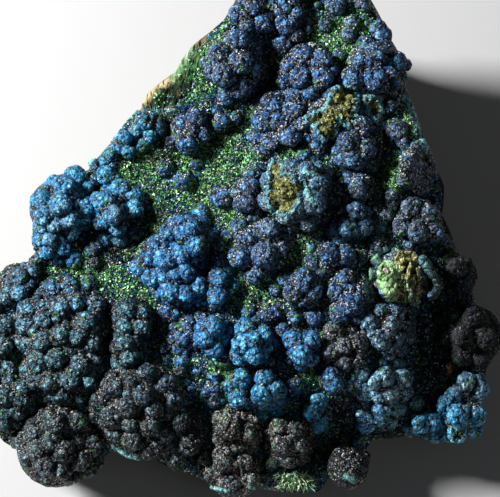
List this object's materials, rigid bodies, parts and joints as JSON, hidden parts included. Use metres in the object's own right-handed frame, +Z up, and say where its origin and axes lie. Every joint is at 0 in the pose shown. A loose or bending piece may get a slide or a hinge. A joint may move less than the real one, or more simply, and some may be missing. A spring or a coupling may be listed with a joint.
{
  "type": "cornetite mineral specimen",
  "caption": "Loose mineral specimen: a wedge of host rock with a green druse on its face and blue mounds of grape-like cornetite nodules grown on it.",
  "frame": {"origin": "middle of the cut underside that the specimen rests on", "axes": "+Z up out of the underside, -Y towards the low front edge of the face, +X to the right seen from the front"},
  "size_m": [0.0809, 0.0832, 0.0277],
  "materials": {
    "rock_with_druse": "broken tan and brown rock, its face covered by a sparkling green druse",
    "dark_blue_nodules": "sparkling crust of tiny navy crystals",
    "bright_blue_nodules": "sparkling crust of tiny bright blue crystals",
    "grey_blue_nodules": "sparkling crust of tiny grey-blue crystals with tan flecks",
    "pale_green_boss": "waxy pale green mass, broken open"
  },
  "bodies": {
    "root": {"host_rock": "rock_with_druse", "edge_strip": "bright_blue_nodules", "left_knob": "bright_blue_nodules", "heart_knob": "bright_blue_nodules", "lower_crest": "dark_blue_nodules", "upper_crest": "dark_blue_nodules", "top_crest": "dark_blue_nodules", "north_mound": "dark_blue_nodules", "north_east_mound": "dark_blue_nodules", "east_mound": "dark_blue_nodules", "east_ball": "dark_blue_nodules", "middle_dome": "dark_blue_nodules", "middle_west_mound": "dark_blue_nodules", "middle_left_mound": "dark_blue_nodules", "small_dome": "bright_blue_nodules", "right_edge_mound": "dark_blue_nodules", "right_corner_mound": "dark_blue_nodules", "centre_mound": "dark_blue_nodules", "middle_right_mound": "dark_blue_nodules", "broken_boss": "pale_green_boss", "lower_right_dome": "dark_blue_nodules", "speckled_mound": "grey_blue_nodules", "right_front_mound": "dark_blue_nodules", "flank_dome": "grey_blue_nodules", "flank_cluster": "bright_blue_nodules", "left_ball": "bright_blue_nodules", "middle_ball": "bright_blue_nodules", "right_ball": "bright_blue_nodules", "slope_mound": "bright_blue_nodules", "lower_balls": "bright_blue_nodules", "small_ball": "bright_blue_nodules", "lower_finger": "bright_blue_nodules", "front_mound": "grey_blue_nodules", "central_lobe": "bright_blue_nodules", "left_margin": "bright_blue_nodules", "lower_left_mound": "grey_blue_nodules", "finger_mound": "grey_blue_nodules", "front_west_mound": "grey_blue_nodules", "front_left_lobe": "grey_blue_nodules", "front_ball": "grey_blue_nodules"}
  },
  "joints": []
}
